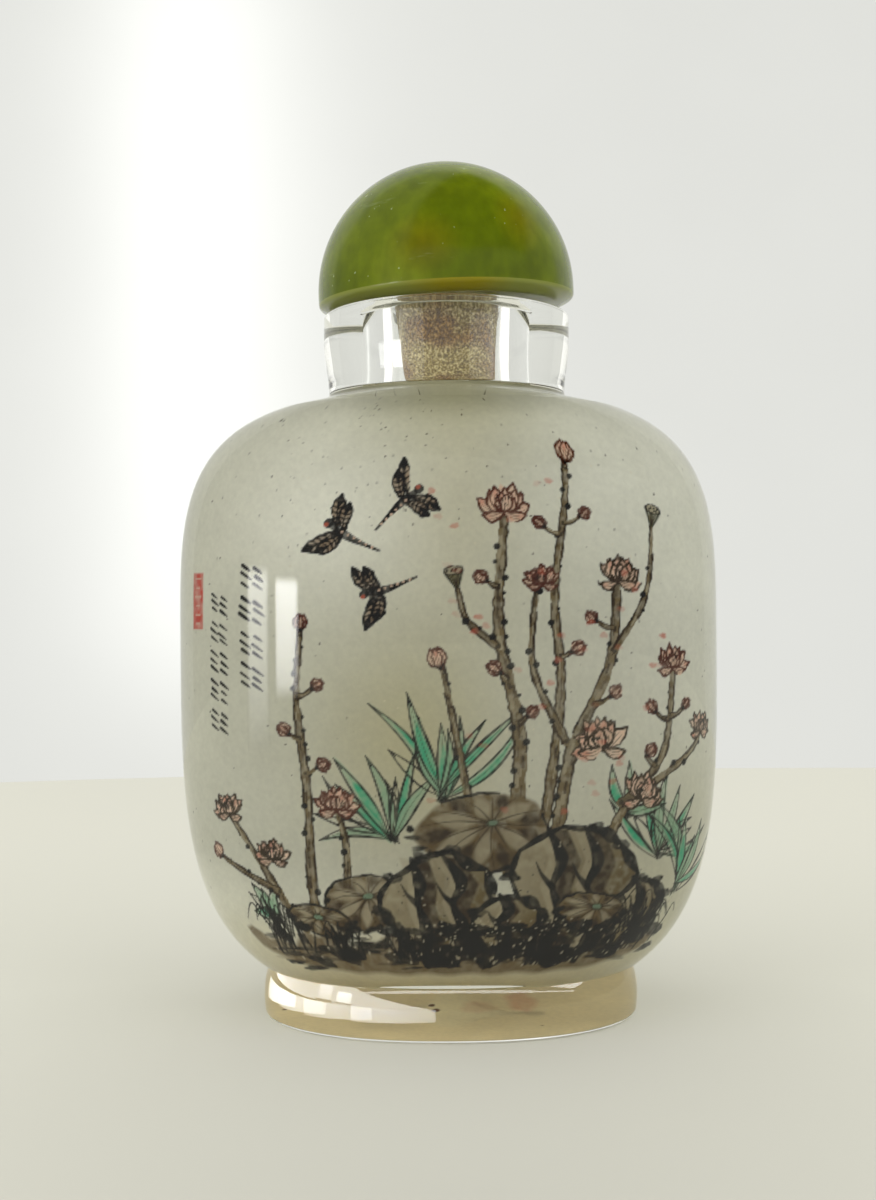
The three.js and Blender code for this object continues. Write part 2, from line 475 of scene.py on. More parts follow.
def lens(base, tip, width, bend=0.0, fullest=0.45, count=14):
    """A pointed blade outline from base to tip, and the line of its middle."""
    base, tip = np.asarray(base, float), np.asarray(tip, float)
    along = tip - base
    side = np.array([-along[1], along[0]]) / max(np.linalg.norm(along), 1e-6)
    t = np.linspace(0, 1, count)
    middle = base + along * t[:, None] + side * (bend * np.sin(math.pi * t))[:, None]
    rise = np.where(t < fullest, t / fullest, (1 - t) / (1 - fullest))
    half = (width / 2 * np.sin(rise * math.pi / 2))[:, None]
    return np.vstack([middle + side * half, (middle - side * half)[::-1]]), middle


def outline_pen(film, outline, colour, width, strength=0.9, gaps=0.25):
    """Inks round an outline in pressed and lifted runs, slightly off its edge."""
    count = len(outline)
    start = int(film.rng.integers(count))
    at = 0
    while at < count:
        run = int(film.rng.integers(5, 12))
        if film.rng.random() > gaps:
            index = (start + np.arange(at, min(at + run + 1, count + 1))) % count
            points = outline[index] + film.rng.normal(0, 0.035, (len(index), 2))
            press = width * film.rng.uniform(0.5, 1.3, 4)
            film.stroke(points, press, colour, strength, soft=0.07)
        at += run


def lotus_leaf(film, centre, width, height, turn, depth):
    """A broad leaf in ink washes, with veins fanning from a hollow above its middle."""
    rng = film.rng
    veins = 13
    edge = blob(centre, width, height, 0.07, turn, rng, 60)
    hub = np.array([centre[0] + rng.uniform(-0.08, 0.08) * width, centre[1] + height * 0.12])
    film.fill(edge, WASH, 0.55 + 0.25 * depth, grain=0.35, soft=0.3)
    low = centre[1] - height / 2

    def lower(x, z):
        return (1.15 - (z - low) / height) * 1.1

    film.fill(edge, UMBER, 0.85 * depth, grain=0.5, soft=0.4, fade=lower)
    film.fill(edge, INK, 0.5 * depth, grain=0.6, soft=0.5, fade=lambda x, z: lower(x, z) - 0.75)
    # Lit folds of the leaf between the veins, and pooled ink along its lower edge.
    for i in range(veins):
        part = (i + 0.5) / veins
        rim = edge[int(part * len(edge)) % len(edge)]
        if i % 2:
            lit, _ = lens(hub + (rim - hub) * 0.2, hub + (rim - hub) * 0.9, height * 0.2)
            film.fill(lit, STONE_GREY, 0.65, grain=0.4, soft=0.35)
        else:
            dark, _ = lens(rim, hub + (rim - hub) * 0.45, height * 0.16)
            film.fill(dark, BROWN_INK, min(0.9, 0.7 * depth), grain=0.6, soft=0.35)
    for i in range(veins):
        rim = edge[int(i / veins * len(edge)) % len(edge)]
        reach = rng.uniform(0.82, 0.97)
        bow = np.array([rng.uniform(-0.25, 0.25), rng.uniform(-0.1, 0.3)])
        middle = hub + (rim - hub) * 0.5 + bow
        film.stroke([hub, middle, hub + (rim - hub) * reach], [0.2, 0.1, 0.05], BROWN_INK, 0.75, soft=0.08)
    under = edge[edge[:, 1] < centre[1] + 0.05 * height]
    for place in under[:: max(1, len(under) // 12)]:
        if rng.random() < 0.75:
            place = place + rng.normal(0, 0.15, 2)
            across, high, slant = rng.uniform((0.5, 0.25, -0.6), (1.5, 0.7, 0.6))
            pool = blob(place, across, high, 0.25, slant, rng, 20)
            film.fill(pool, INK, 0.85 * depth, grain=0.5, soft=0.15)
    outline_pen(film, edge, INK, 0.2, 0.9, gaps=0.3)
    film.fill(blob(hub, 0.9, 0.5, 0.1, turn, rng, 20), PALE_GREEN, 0.5)
    outline_pen(film, blob(hub, 0.9, 0.5, 0.1, turn, rng, 24), BROWN_INK, 0.12, 0.8, gaps=0.1)


def boulder(film, foot, width, height, faces):
    """A broken rock: broad brown faces, lit high on their left, between black clefts."""
    rng = film.rng
    corners = 10
    turns = np.linspace(0, 2 * math.pi, corners + 1)[:-1] + rng.uniform(-0.22, 0.22, corners)
    reach = rng.uniform(0.86, 1.12, corners)
    x, z = np.cos(turns) * reach * width / 2, (np.sin(turns) * reach + 1) * height / 2
    outline = foot + np.stack([x, z], axis=1)

    def lit(x, z):
        return 0.9 * (z - foot[1]) / height - 1.1 * (x - foot[0]) / width

    film.fill(outline, ROCK_BROWN, 0.96, grain=0.25, soft=0.12)
    film.fill(outline, STONE_GREY, 0.8, grain=0.5, soft=0.4, fade=lambda x, z: lit(x, z) - 0.15)
    film.fill(outline, BROWN_INK, 0.75, grain=0.6, soft=0.3, fade=lambda x, z: 0.25 - lit(x, z))
    for face in range(1, faces):
        share = face / faces - 0.5 + rng.uniform(-0.05, 0.05)
        levels = np.array([1, 0.74, 0.52, 0.28, 0.02]) * height * (0.97 - 1.2 * share * share)
        shift = share + np.array([-0.1, 0.03, -0.03, 0.08, 0.03]) + rng.uniform(-0.04, 0.04, 5)
        cleft = foot + np.stack([shift * width, levels], axis=1)
        shaded = cleft + np.array([0.15, -0.02]) * (width, height)
        edge = cleft - np.array([0.1, -0.01]) * (width, height)
        film.fill(np.vstack([cleft, shaded[::-1]]), BROWN_INK, 0.85, grain=0.5, soft=0.2)
        film.fill(np.vstack([edge, cleft[::-1]]), STONE_GREY, 0.5, grain=0.5, soft=0.15)
        film.stroke(cleft, [0.3, 1.1, 0.4, 1.2, 0.8], INK, 0.96, grain=0.35, soft=0.08)
        fork = cleft[2] + np.array([[0, 0], [-0.09, 0.1], [-0.14, 0.2]]) * (width, height)
        film.stroke(fork, [0.6, 0.3, 0.08], INK, 0.92)
    for start in range(corners):
        part = outline[[start, (start + 1) % corners]]
        low = part[:, 1].mean() < foot[1] + 0.35 * height
        press = 1.1 if low or part[:, 0].mean() > foot[0] + 0.2 * width else 0.55
        bulge = part.mean(axis=0) + rng.normal(0, 0.14, 2)
        film.stroke([part[0], bulge, part[1]], [0.25, press, 0.3], INK, 0.96, grain=0.3)
        if rng.random() < 0.5:
            film.fill(blob(part[0], 1.5, 0.9, 0.3, 0, rng, 18), INK, 0.9, grain=0.5)
    for _ in range(int(width * height / 2)):
        place = foot + np.array([rng.uniform(-0.4, 0.4) * width, rng.uniform(0.05, 0.85) * height])
        film.dot(place, rng.uniform(0.03, 0.08), INK if rng.random() < 0.6 else STONE_GREY, 0.8)


def stem(film, points, width, thorns=True):
    """A brown stalk, thicker at its root, mottled between broken edge lines, with ink knots."""
    rng = film.rng
    line = smooth_line(points, 0.4)
    widths = width * np.linspace(1.35, 0.75, len(line)) * rng.uniform(0.8, 1.2, len(line))
    film.stroke(line, widths, WASH, 0.92, grain=0.3)
    side = np.gradient(line, axis=0)
    side = np.stack([-side[:, 1], side[:, 0]], axis=1)
    side /= np.maximum(np.linalg.norm(side, axis=1, keepdims=True), 1e-6)
    for i in range(1, len(line) - 2, 2):
        shade = line[i : i + 3] + side[i] * rng.uniform(-0.3, 0.3) * width
        tone = BROWN_INK if rng.random() < 0.6 else STONE_GREY
        film.stroke(shade, width * rng.uniform(0.15, 0.45), tone, rng.uniform(0.3, 0.8), grain=0.5)
    for way in (-1, 1):
        outline = line + side * way * widths[:, None] / 2
        at = 0
        while at < len(outline) - 2:
            run = int(rng.integers(3, 11))
            if rng.random() < 0.85:
                film.stroke(outline[at : at + run + 1], rng.uniform(0.08, 0.26, 3), BROWN_INK, 0.95)
            at += run
    if thorns:
        for i in range(2, len(line) - 2, 3):
            if rng.random() < 0.6:
                place = line[i] + side[i] * rng.choice((-1, 1)) * (widths[i] / 2 + 0.05)
                film.dot(place, rng.uniform(0.09, 0.27), INK, 0.97)
    for end in (line[0], line[-1]):
        film.dot(end, width * 0.42, INK, 0.7)


def petal(film, base, tip, width, bend, tint, line_colour):
    edge, middle = lens(base, tip, width, bend, 0.58, 12)
    film.fill(edge, tint, 0.85, grain=0.25, soft=0.1)
    point, _ = lens(middle[len(middle) // 2], tip, width * 0.5, 0)
    film.fill(point, CORAL, film.rng.uniform(0, 0.45), grain=0.6, soft=0.2)
    side = np.array([-(tip[1] - base[1]), tip[0] - base[0]])
    side = side / np.linalg.norm(side) * width
    for shift in (-0.15, 0.13):
        film.stroke(middle[2:-3] + side * shift, [0.04, 0.1, 0.04], line_colour, 0.7)
    outline_pen(film, edge, line_colour, 0.2, 0.97, gaps=0.05)


def lotus_flower(film, centre, size, turn, line_colour):
    """Pointed petals fanned round a seed head, the far ones first."""
    rng = film.rng
    for count, reach, spread in ((6, 1.0, 1.25), (5, 0.92, 0.8), (4, 0.62, 0.5)):
        for i in sorted(range(count), key=lambda k: -abs(k - (count - 1) / 2)):
            angle = turn + (i / (count - 1) - 0.5) * 2 * spread + rng.uniform(-0.1, 0.1)
            length = size * reach * rng.uniform(0.85, 1.05)
            tip = centre + length * heading(angle)
            foot = centre + 0.12 * size * np.array([math.sin(angle), -0.6])
            tint = np.array(SALMON) + rng.integers(-12, 18)
            petal(film, foot, tip, size * 0.42, rng.uniform(-0.1, 0.1) * size, tint, line_colour)
    heart = centre + 0.32 * size * heading(turn)
    for _ in range(14):
        place = heart + rng.normal(0, 0.13 * size, 2)
        way = place - centre
        way = way / max(np.linalg.norm(way), 1e-6) * rng.uniform(0.12, 0.3)
        film.stroke([place, place + way], 0.08, INK, 0.85)
    for way in (-1, 1):
        tip = centre + size * np.array([way * 0.75, -0.12])
        petal(film, centre, tip, size * 0.34, -way * 0.12 * size, SALMON, line_colour)


def lotus_bud(film, base, size, turn):
    """Three closed petals, the middle one in front."""
    tip = base + size * heading(turn)
    side = heading(turn + math.pi / 2)
    for way in (-1, 1):
        petal(film, base, tip + side * way * size * 0.16, size * 0.42, -way * size * 0.14, SALMON, RUSSET)
    petal(film, base, tip, size * 0.4, 0, np.array(SALMON) + 10, RUSSET)
    for way in (-1, 0, 1):
        film.stroke([base, base + side * way * 0.22 * size + (tip - base) * 0.22], [0.2, 0.08], INK, 0.85)


def seed_head(film, base, size, turn):
    """A flat-topped pod, wider at the top, with dotted seeds."""
    rng = film.rng
    up, side = heading(turn), heading(turn + math.pi / 2)
    top = base + up * size
    foot_edge, rim_edge = side * 0.12 * size, side * 0.55 * size
    cup = [base - foot_edge, top - rim_edge, top + rim_edge, base + foot_edge]
    film.fill(smooth_line([*cup, cup[0]], 0.2), OLIVE_GREEN, 0.7, grain=0.5, soft=0.15)
    film.fill(smooth_line([*cup, cup[0]], 0.2), UMBER, 0.5, grain=0.6, soft=0.3)
    lid = blob(top, 1.15 * size, 0.5 * size, 0.03, -turn, rng, 28)
    film.fill(lid, STONE_GREY, 0.85)
    for part in (-0.7, -0.35, 0, 0.35, 0.7):
        rib = (top + side * part * 0.5 * size - base) * 0.8
        film.stroke([base, base + rib], [0.12, 0.06], BROWN_INK, 0.7)
    outline_pen(film, lid, INK, 0.14, 0.9, gaps=0.05)
    for low, high in ((0, 1), (3, 2)):
        film.stroke([cup[low], cup[high]], [0.1, 0.2], INK, 0.85)
    for _ in range(7):
        across, along = rng.uniform(-0.42, 0.42), rng.uniform(-0.12, 0.12)
        film.dot(top + side * across * size + up * along * size, 0.09, INK, 0.9)


def reed_blade(film, base, tip, width, bend):
    """A narrow leaf: a turquoise wash a little out of step with its ink outline."""
    rng = film.rng
    edge, middle = lens(base, tip, width, bend, 0.42, 16)
    shift = rng.normal(0, 0.09, 2)
    if rng.random() < 0.8:
        tint = TURQUOISE if rng.random() < 0.55 else PALE_GREEN
        film.fill(edge + shift, PALE_GREEN, 0.6, grain=0.4, soft=0.12)
        part, _ = lens(middle[2], middle[-5], width * 0.8, bend * 0.6)
        film.fill(part + shift, tint, 0.75, grain=0.5, soft=0.15)
    half = len(edge) // 2
    for side in (edge[:half], edge[half:]):
        film.stroke(side, [0.08, rng.uniform(0.14, 0.28), 0.1], INK, 0.92, soft=0.06)
    if rng.random() < 0.6:
        film.stroke(middle[1:-2], [0.1, 0.05, 0.03], BROWN_INK, 0.7)
    film.stroke([middle[-3], middle[-1]], [0.14, 0.04], INK, 0.9)


def reed_clump(film, root, blades, length, lean, spread, width):
    """Blades fanned from a root, with a dark knot where they meet."""
    rng = film.rng
    for i in range(blades):
        angle = lean + (i / (blades - 1) - 0.5) * spread + rng.uniform(-0.12, 0.12)
        reach = length * rng.uniform(0.6, 1.1)
        tip = root + reach * heading(angle)
        base = root + rng.normal(0, 0.25, 2)
        reed_blade(film, base, tip, width * rng.uniform(0.7, 1.15), rng.uniform(-0.12, 0.12) * reach)
    film.fill(blob(root, 0.9, 0.6, 0.3, 0, rng, 20), INK, 0.8, grain=0.6)


def grass_tuft(film, root, size, count):
    """Quick curled pen loops, as of water weed."""
    rng = film.rng
    for _ in range(count):
        start = root + rng.normal(0, 0.34, 2) * size * np.array([1, 0.3])
        lean = rng.uniform(-1, 1)
        rise = size * rng.uniform(0.4, 1.0)
        crest = start + np.array([lean * rise * 0.6, rise])
        fall = crest + np.array([lean * rise * 0.5, -rise * rng.uniform(0.2, 0.7)])
        bow = (start + crest) / 2 + rng.normal(0, 0.1, 2)
        film.stroke([start, bow, crest, fall], [0.22, 0.16, 0.08], INK, rng.uniform(0.8, 1))


def bank(film, left, right, level):
    """Wet ground along the foot of the picture: a grey-brown wash under flat broken ink."""
    rng = film.rng
    x = np.linspace(left, right, 60)
    top = level + 0.35 * np.sin(x * 0.9) + 0.25 * np.sin(x * 2.3 + 1)
    taper = np.sqrt(np.maximum(0, 1 - np.linspace(-1, 1, 60) ** 4))
    low = level - (2 + 0.06 * np.sin(x * 1.3 + 2)) * taper
    strip = np.vstack([np.stack([x, top], 1), np.stack([x, low], 1)[::-1]])
    film.fill(strip, UMBER, 0.85, grain=0.15, soft=0.3)
    for _ in range(int(2.5 * (right - left))):
        place = rng.uniform(left + 2, right - 2), level + rng.normal(-0.7, 0.5)
        width, height, turn = rng.uniform((1.2, 0.1, -0.06), (4.2, 0.3, 0.06))
        patch = blob(place, width, height, 0.3, turn, rng, 24)
        film.fill(patch, INK if rng.random() < 0.7 else WASH, rng.uniform(0.4, 0.95), grain=0.2, soft=0.06)
    for _ in range(70):
        place = rng.uniform(left + 2, right - 2), level + rng.normal(-0.5, 0.5)
        film.dot(place, rng.uniform(0.04, 0.1), STONE_GREY, 0.8)


def dragonfly(film, place, size, turn):
    """A long jointed body and two pairs of veined wings."""
    rng = film.rng
    c, s = math.cos(turn), math.sin(turn)

    def at(along, across):
        return place + size * np.array([along * c - across * s, along * s + across * c])

    wings = ((0.12, 0.5, 0.75), (0.02, 0.42, 0.55), (0.12, -0.42, 0.62), (0.02, -0.38, 0.42))
    for along, across, lean in wings:
        tip = at(along + lean * 0.35, across)
        edge, middle = lens(at(along, 0), tip, size * 0.17, 0.03 * size, 0.7, 14)
        film.fill(edge, WING_TAN, 0.85, grain=0.3)
        outline_pen(film, edge, INK, 0.24, 0.97, gaps=0.05)
        for part in range(2, 12, 2):
            for rim in (part + 1, -part - 2):
                film.stroke([middle[part], edge[rim]], [0.2, 0.1], INK, 0.9)
        film.stroke(middle[1:-1], 0.12, INK, 0.9)
        film.stroke([middle[-5], tip], [0.2, 0.55, 0.3], INK, 0.97, grain=0.3)
    body = [at(0.22, 0), at(0.05, 0.01), at(-0.2, 0.0), at(-0.55, -0.05)]
    film.stroke(body, size * np.array([0.08, 0.124, 0.06, 0.036]), INK, 0.95)
    for share in np.linspace(0.1, 0.9, 6):
        film.dot(at(0.1 - 0.6 * share, -0.04 * share), 0.09, SALMON, 0.9)
    film.dot(at(0.28, 0), 0.065 * size, INK, 0.95)
    film.dot(at(0.3, 0.03), 0.03 * size, CORAL, 0.8)
    for _ in range(8):
        film.dot(at(rng.uniform(0, 0.2), rng.uniform(-0.08, 0.08)), 0.05, BROWN_INK, 0.8)


def brush_column(film, x, top, marks, size):
    """A column of slanting dabs in pairs where an inscription would be. They aren't letters."""
    rng = film.rng
    for mark in range(marks):
        for part in (0.12, 0.42, 0.72):
            for way in (-1, 1):
                place = np.array([x + way * 0.25 * size, top - (mark * 1.16 + part + 0.06 * way) * size])
                place += rng.normal(0, 0.025, 2) * size
                half = size * rng.uniform(0.13, 0.21) * np.array([1, -0.62])
                press = size * rng.uniform(0.1, 0.16) * np.array([1, 0.9, 0.35])
                film.stroke([place - half, place + half], press, INK, 1.0, 0.08)


def tall_seal(film, centre, width, height):
    """A red stamp with worn pale scratches, which aren't letters."""
    rng = film.rng
    corners = np.array([(-1, -1), (1, -1), (1, 1), (-1, 1)]) / 2 * (width, height) + centre
    film.fill(corners, SEAL_RED, 0.85, grain=0.4)
    for level in np.linspace(-0.4, 0.4, 6):
        middle = centre[1] + level * height
        reach = rng.uniform(0.12, 0.34) * width
        film.stroke([(centre[0] - reach, middle), (centre[0] + reach, middle)], 0.14, SCRATCH, 0.8)


def ground_tone(film):
    """The bare frosting: warm grey, olive at the neck, tan at the foot, with an amber stain, and paler
    patches high on the right and on the left that are painted light.
    """
    x, z = np.meshgrid(film.x, film.z)
    tone = linear(FROST_TONE) * np.ones((*x.shape, 1))
    # The first, second and sixth patches are painted light: the frosting made paler where it catches more
    # light.
    for colour, centre, reach, strength in (
        ((240, 240, 228), (20, 38), (8, 16), 0.85), ((242, 242, 230), (14, 44), (9, 8), 0.85),
        ((190, 185, 140), (0, 54), (10, 5.5), 0.9), ((196, 188, 144), (-3, 24), (7, 9), 0.75),
        ((212, 206, 176), (0, 42), (5, 8), 0.6), ((255, 254, 242), (-10, 41), (8, 7), 0.85),
        ((204, 200, 172), (18, 12), (10, 9), 0.7), ((210, 200, 162), (-4, 5), (34, 4), 0.9),
    ):
        away = ((x - centre[0]) / reach[0]) ** 2 + ((z - centre[1]) / reach[1]) ** 2
        cover = (strength * np.exp(-away))[..., None]
        tone = tone * (1 - cover) + linear(colour) * cover
    mottle = 0.95 + 0.1 * (film.broad - 0.5) + 0.06 * (film.fine - 0.5)
    film.colour[:] = tone * mottle[..., None]


def specks(film, count):
    """Grit in the frosting, thickest high on the left shoulder."""
    rng = film.rng
    for _ in range(count):
        place = rng.uniform((film.x[0] + 1, 9), (film.x[-1] - 1, 52))
        near = math.exp(-(((place[0] + 9) / 9) ** 2 + ((place[1] - 48) / 7) ** 2))
        if rng.random() < 0.16 + 0.84 * near:
            film.dot(place, rng.uniform(0.03, 0.085), BROWN_INK, rng.uniform(0.35, 0.95))
    for _ in range(count // 12):
        place = rng.uniform((-14, 10), (16, 46))
        film.dot(place, rng.uniform(0.03, 0.06), GRIT, 0.7)


def twig(stalks, place):
    """A bowed line to a bud from the nearest stalk below it."""
    line = np.vstack([smooth_line(points, 0.3) for points, _ in stalks])
    line = line[line[:, 1] < place[1] - 0.3]
    root = line[np.argmin(np.hypot(*(line - place).T))]
    return [root, (root + place) / 2 + np.array([0, -0.12]) * abs(place[0] - root[0]), place]


def front_picture(film):
    """A lotus pond: leaves, rocks and reeds below, flowers and pods on tall stalks, dragonflies above."""
    ground_tone(film)
    specks(film, 1300)
    bank(film, -19.5, 20.5, 8.4)
    for root, blades, length, lean, spread in (
        ((-4.5, 16.6), 11, 7.4, -0.55, 2.1), ((-0.6, 19.6), 10, 9.0, 0.05, 1.5),
        ((17.6, 14.5), 10, 6.4, 0.25, 2.2), ((20.2, 11.5), 8, 7.4, 0.2, 1.6),
        ((14.2, 18.0), 5, 4.8, 0.5, 1.6), ((-15.5, 9.6), 5, 3.6, -0.5, 1.5),
    ):
        reed_clump(film, root, blades, length, lean, spread, 0.85)
    stalks = (
        ([(4.6, 14), (5.4, 24), (3.8, 33), (4.4, 42.4)], 0.85),
        ([(8.0, 14), (9.4, 23), (12.6, 30), (13.4, 37)], 0.8),
        ([(2.0, 16), (0.4, 25), (-0.6, 30)], 0.5),
        ([(11.0, 13), (14.2, 19), (17.6, 23), (18.6, 30)], 0.6),
        ([(7.0, 15), (8.6, 28), (8.2, 36), (10.0, 46)], 0.6), ([(9.0, 24), (6.4, 30), (6.9, 37)], 0.45),
        ([(13.6, 19), (20.4, 22.5), (22.2, 24.5)], 0.5),
        ([(-11.5, 9), (-11.2, 19), (-12.0, 27), (-11.7, 33)], 0.55),
        ([(-9.0, 9), (-8.2, 15), (-8.9, 19)], 0.5), ([(-13.0, 9), (-15.6, 14), (-18.4, 18)], 0.55),
        ([(-14.4, 12), (-17.5, 13.4), (-19.6, 14.4)], 0.4),
    )
    for points, width in stalks:
        stem(film, points, width)
    for centre, size, turn, pen in (
        ((4.4, 42.0), 2.3, 0.1, RUSSET), ((13.4, 36.6), 2.1, 0.35, BROWN_INK),
        ((18.5, 29.6), 1.9, 0.15, RUSSET), ((12.0, 23.4), 2.6, -0.4, BROWN_INK),
        ((15.4, 19.2), 2.2, 0.5, BROWN_INK), ((22.0, 24.2), 1.7, 0.3, BROWN_INK),
        ((-18.5, 18.0), 1.7, -0.35, BROWN_INK), ((-8.9, 18.8), 1.9, 0.15, RUSSET),
        ((-14.6, 14.6), 1.7, -0.1, BROWN_INK), ((7.2, 36.4), 1.5, -0.2, RUSSET),
    ):
        lotus_flower(film, centre, size, turn, pen)
    for place, length, turn in (
        ((10.0, 45.8), 1.8, 0.3), ((-0.7, 29.8), 1.7, -0.3), ((-11.7, 32.8), 1.3, 0.05),
        ((-19.7, 14.4), 1.3, -0.8), ((9.4, 31.0), 1.3, 1.0), ((4.0, 29.4), 1.3, -0.9),
        ((12.6, 27.4), 1.2, 0.9), ((-12.6, 24.6), 1.2, -0.9), ((-10.8, 28.2), 1.1, 0.9),
        ((-10.5, 22.0), 1.2, 1.1), ((15.8, 22.6), 1.2, 0.9), ((3.0, 36.6), 1.2, -1.0),
        ((16.8, 26.0), 1.2, -0.7), ((7.6, 40.8), 1.1, -0.9), ((11.6, 33.4), 1.1, -0.9),
        ((5.9, 26.0), 1.1, 0.9), ((10.4, 41.6), 1.1, 1.0), ((19.6, 26.2), 1.1, 0.8),
    ):
        stem(film, twig(stalks, place), 0.28, thorns=False)
        lotus_bud(film, place, length, turn)
    for root, bow, tip, turn in (((3.7, 31.5), (1.4, 33.6), (0.6, 36.2), -0.2),
                                 ((13.0, 31.0), (15.8, 35.4), (16.8, 41.0), 0.3)):
        stem(film, [root, bow, tip], 0.4)
        seed_head(film, tip, 1.3, turn)
    lotus_leaf(film, (2.6, 17.0), 10.0, 6.4, 0.1, 1.1)
    lotus_leaf(film, (-7.0, 11.4), 7.0, 4.6, 0.18, 1.0)
    for foot, width, height, faces in (
        ((9.8, 7.4), 10.6, 10.4, 3), ((-0.8, 7.2), 9.4, 8.4, 3), ((16.4, 7.6), 5.2, 5.0, 2),
        ((4.6, 7.2), 6.4, 5.0, 2),
    ):
        boulder(film, foot, width, height, faces)
    lotus_leaf(film, (-11.2, 9.8), 5.4, 2.6, -0.15, 1.2)
    lotus_leaf(film, (12.0, 10.4), 6.4, 3.0, -0.12, 1.3)
    sunk_stones(film)
    for root, size, count in (
        ((-15.2, 8.0), 3.4, 34), ((-10.0, 7.8), 2.0, 24), ((17.4, 8.2), 3.2, 30), ((1.6, 7.6), 1.7, 20),
        ((-4.6, 7.6), 1.8, 22), ((8.4, 7.4), 1.5, 22),
    ):
        grass_tuft(film, root, size, count)
    for place, size, turn in (((-8.2, 40.4), 5.6, 2.6), ((-3.6, 42.8), 5.4, 0.7), ((-5.2, 36.0), 5.2, 3.4)):
        dragonfly(film, place, size, turn)
    brush_column(film, -15.9, 38.0, 4, 2.3)
    brush_column(film, -19.2, 35.8, 5, 2.05)
    tall_seal(film, (-22.0, 35.2), 1.5, 4.6)
    for _ in range(44):
        fallen = blob(film.rng.uniform((-2, 18), (18, 45)), 0.7, 0.45, 0.3, 0, film.rng, 14)
        film.fill(fallen, CORAL, film.rng.uniform(0.15, 0.55), 0.6)


def sunk_stones(film):
    """Dark wet stones and weed along the bank, in pooled ink with lit chinks."""
    rng = film.rng
    for _ in range(80):
        place = rng.normal(5.0, 7.0), rng.uniform(7.0, 9.6)
        width, height, turn = rng.uniform((1.0, 0.35, -0.2), (3.2, 0.9, 0.2))
        stone = blob(place, width, height, 0.25, turn, rng, 22)
        film.fill(stone, INK, rng.uniform(0.8, 0.98), grain=0.2, soft=0.08)
    for _ in range(150):
        film.dot((rng.normal(5.0, 7.5), rng.uniform(6.8, 10.0)), rng.uniform(0.03, 0.1), STONE_GREY, 0.8)


def back_picture(film):
    """The plainer back: frosting, one reed clump and a bud over a thin wash."""
    ground_tone(film)
    specks(film, 500)
    bank(film, -12, 12, 8.6)
    reed_clump(film, (-3.0, 9.5), 7, 9.0, -0.1, 1.5, 1.3)
    stem(film, [(1.0, 9.5), (2.4, 20), (1.6, 29)], 0.6)
    lotus_bud(film, (1.6, 29), 3.4, 0.1)
    grass_tuft(film, (5.0, 9.0), 1.8, 14)


def underside_picture(film):
    """Tan standing in for the painted bank and the table that the foot mirrors, a painted reflection, with
    a few specks and pink smears.
    """
    rng = film.rng
    tone = linear(FOOT_MIRRORED_TAN) * np.ones((*film.colour.shape[:2], 1))
    film.colour[:] = tone * (0.86 + 0.28 * film.broad[..., None])
    for place, size in (((-1.2, 0.5), 0.28), ((-1.5, 1.4), 0.22), ((-11.5, 2.0), 0.12), ((7.0, -3.0), 0.1)):
        film.dot(place, size, RUSSET, 0.9)
    for centre, width, height, strength in (
        ((5.2, 2.0), 2.2, 3.0, 0.3), ((2.0, 1.0), 2.6, 2.0, 0.16), ((-14.6, 0.0), 1.2, 8.0, 0.5),
    ):
        film.fill(blob(centre, width, height, 0.2, 0, rng, 24), CORAL, strength, soft=0.6)


# ---------------------------------------------------------------- film


def even_along(points, pitch):
    """How far along a line each of its points is, and even distances about a pitch apart."""
    along = np.concatenate([[0], np.cumsum(np.linalg.norm(np.diff(points, axis=0), axis=1))])
    return along, np.linspace(0, along[-1], int(along[-1] / pitch) + 1)


def half_wall_turns(side, pitch):
    """Turns along the cavity's front (-1) or back (+1) half, evenly spaced along its arc at the
    waist, and the distance along that arc from the middle of the panel."""
    turns = math.pi - side * np.linspace(0, math.pi, 4001)
    along, even = even_along(ring(*cavity_section(WAIST_Z, 1, 0), turns), pitch)
    return np.interp(even, along, turns), even - along[-1] / 2


def wall_places(pitch):
    """Heights and shares of the waist size up the cavity's wall, evenly spaced along the
    middle of its front."""
    places = cavity_profile(2000)[::-1]
    along, even = even_along(places * [1, BODY_DEPTH / 2 - WALL], pitch)
    return np.stack([np.interp(even, along, column) for column in places.T], axis=1)


def film_panel(name, rows, colours, material):
    panel = add_mesh(name, *skin(rows, closed=False))
    colour_points(panel, "paint", colours.reshape(-1, 3))
    lay_flat(panel, *rows.shape[:2])
    panel.data.materials.append(material)
    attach(panel, "root")


def lay_flat(panel, rows, columns):
    """Gives a panel its own map, as if it were unrolled."""
    across, up = np.meshgrid(np.linspace(0.01, 0.99, columns), np.linspace(0.01, 0.99, rows))
    flat = np.stack([across.ravel(), up.ravel()], axis=1).astype(np.float32)
    corners = np.empty(len(panel.data.loops), np.int32)
    panel.data.loops.foreach_get("vertex_index", corners)
    layer = panel.data.uv_layers.new(name="OFBake")
    layer.uv.foreach_set("vector", flat[corners].ravel())


def painted_wall(name, side, pitch, tiles, picture, material):
    turns, across = half_wall_turns(side, pitch)
    places = wall_places(pitch)
    film = Film(across / MM, places[:, 0] / MM, np.random.default_rng(SEED + side))
    picture(film)
    rows = np.array([ring(*cavity_section(z, share, FILM_OFFSET), turns) for z, share in places])
    low = rows[..., 2] < FILM_SETTLES_BELOW
    stretch = (FILM_SETTLES_BELOW - FILM_FLOOR_Z) / (FILM_SETTLES_BELOW - CAVITY_FLOOR_Z)
    rows[low, 2] = FILM_SETTLES_BELOW - (FILM_SETTLES_BELOW - rows[low, 2]) * stretch
    row_cuts = np.linspace(0, len(places) - 1, tiles + 1).astype(int)
    column_cuts = np.linspace(0, len(turns) - 1, tiles + 1).astype(int)
    for i, (low, high) in enumerate(zip(row_cuts, row_cuts[1:])):
        for j, (left, right) in enumerate(zip(column_cuts, column_cuts[1:])):
            tile = slice(low, high + 1), slice(left, right + 1)
            film_panel(f"film_{name}_{i}{j}", rows[tile], film.colour[tile], material)


